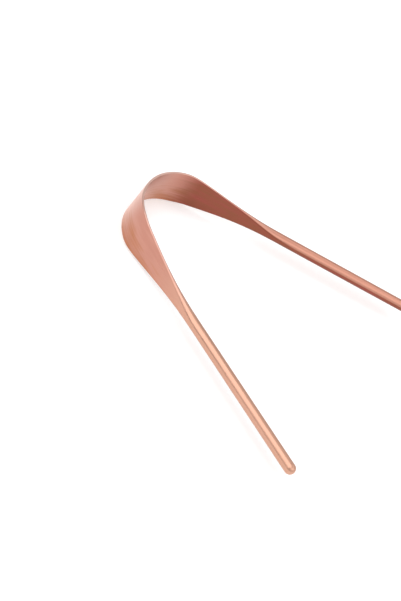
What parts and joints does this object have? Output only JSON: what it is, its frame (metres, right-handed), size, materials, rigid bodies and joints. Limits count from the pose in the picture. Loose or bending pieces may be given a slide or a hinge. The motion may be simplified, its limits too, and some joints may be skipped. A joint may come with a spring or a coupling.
{
  "type": "tongue scraper",
  "caption": "U-shaped sprung tongue scraper: a flat bent band with dressed scraping edges that runs into round rod handles.",
  "frame": {"origin": "middle of the crown of the bow, in the middle of its wall, on the band's lower scraping edge", "axes": "+X runs from the crown along the middle line towards the handles, +Y towards the right hand's handle, +Z across the band from its lower scraping edge to its upper one"},
  "size_m": [0.0872, 0.1118, 0.0121],
  "materials": {
    "satin_copper": "fine satin, brushed along the band",
    "bright_copper": "smooth drawn rod, soft gloss"
  },
  "bodies": {
    "bow": {"band_crown": "satin_copper", "left_band_corner": "satin_copper", "right_band_corner": "satin_copper"},
    "left_leg": {"left_shoulder": "satin_copper", "left_handle": "bright_copper", "left_tip": "bright_copper"},
    "right_leg": {"right_shoulder": "satin_copper", "right_handle": "bright_copper", "right_tip": "bright_copper"}
  },
  "joints": [
    {"name": "left_leg_flex", "type": "hinge", "parent": "bow", "child": "left_leg", "pos_m": [0.00598, -0.01597, 0.00605], "axis": [0, 0, 1], "range_deg": [-12, 12], "stiffness_Nm_per_rad": 1.5},
    {"name": "right_leg_flex", "type": "hinge", "parent": "bow", "child": "right_leg", "pos_m": [0.00598, 0.01597, 0.00605], "axis": [0, 0, -1], "range_deg": [-12, 12], "stiffness_Nm_per_rad": 1.5}
  ]
}
